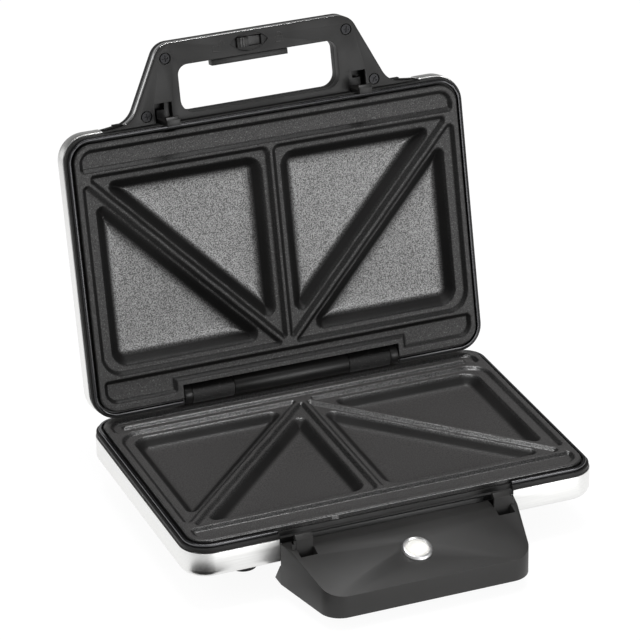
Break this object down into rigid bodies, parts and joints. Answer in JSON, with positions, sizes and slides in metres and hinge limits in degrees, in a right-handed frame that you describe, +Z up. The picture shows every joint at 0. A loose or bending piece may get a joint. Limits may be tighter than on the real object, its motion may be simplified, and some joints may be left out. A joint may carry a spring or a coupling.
{
  "type": "sandwich toaster",
  "caption": "Countertop sandwich toaster, open: a hinged lid and a base with diagonal-ribbed coated plates, a grip handle with a sliding lock, a latch nose and a pilot lamp.",
  "frame": {"origin": "on the table under the middle of the body, half way between the nose's front and the open lid's rearmost point", "axes": "+Z up; the front with the nose and the pilot lamp faces -Y; +X to the right seen from the front"},
  "size_m": [0.25, 0.2679, 0.2524],
  "materials": {
    "plate": "dark non-stick coating with fine light speckle",
    "frame": "matt black heat-resistant moulding",
    "ring": "dark satin strip",
    "shell": "satin stainless sheet",
    "body_plastic": "matt black, faintly grained",
    "rubber": "matt",
    "lamp_chrome": "polished",
    "lens": "milky white",
    "ceramic": "unglazed",
    "hinge_black": "black coated",
    "hinge_coated": "coated like the plates",
    "pin_steel": "bright",
    "screw_steel": "black oxide",
    "heater_tube": "dull, heat-tinted",
    "tray": "thin plain sheet",
    "fuse": "plain",
    "lead": "woven sleeve",
    "trim": "smoked polished strip",
    "knob": "matt black",
    "hook": "matt black, glass-filled",
    "spring": "spring steel"
  },
  "bodies": {
    "base": {"base_plate": "plate", "base_frame": "frame", "base_trim_ring": "ring", "base_shell": "shell", "base_pan": "body_plastic", "rubber_feet": "rubber", "nose_housing": "body_plastic", "nose_underside": "body_plastic", "lamp_bezel": "lamp_chrome", "lamp_lens": "lens", "lamp_holder": "ceramic", "hinge_bracket": "hinge_black", "hinge_pin": "pin_steel", "hinge_screws": "screw_steel", "cord_gland": "rubber", "terminal_block": "ceramic", "base_heater": "heater_tube", "base_heater_clips": "tray", "base_reflector": "tray", "thermostat": "ceramic", "thermal_fuse": "fuse", "base_leads": "lead", "base_plate_screws": "screw_steel", "pan_screws": "screw_steel", "nose_screws": "screw_steel"},
    "lid": {"lid_plate": "plate", "lid_frame": "frame", "lid_trim_ring": "ring", "lid_shell": "shell", "lid_hinge_arms": "hinge_coated", "lid_heater": "heater_tube", "lid_heater_clips": "tray", "lid_reflector": "tray", "lid_leads": "lead", "lid_plate_screws": "screw_steel", "lid_shell_screws": "screw_steel", "hinge_arm_screws": "screw_steel", "handle_inner": "body_plastic", "handle_trim": "trim", "handle_outer": "body_plastic", "handle_screws": "screw_steel", "handle_mount_screws": "screw_steel", "detent_spring": "spring"},
    "lock": {"lock_knob": "knob"},
    "hooks": {"hook_frame": "hook"}
  },
  "joints": [
    {"name": "lid_hinge", "type": "hinge", "parent": "base", "child": "lid", "pos_m": [0, 0.0788, 0.049], "axis": [1, 0, 0], "range_deg": [0, 102.4]},
    {"name": "lock_slide", "type": "slide", "parent": "lid", "child": "lock", "axis": [1, 0, 0], "range_m": [0, 0.006]},
    {"name": "hook_slide", "type": "slide", "parent": "lid", "child": "hooks", "axis": [0, 0.2147, 0.9767], "range_m": [0, 0.0032]}
  ],
  "couplings": [
    {"joint": "hook_slide", "follows": "lock_slide", "ratio": 0.53333}
  ]
}
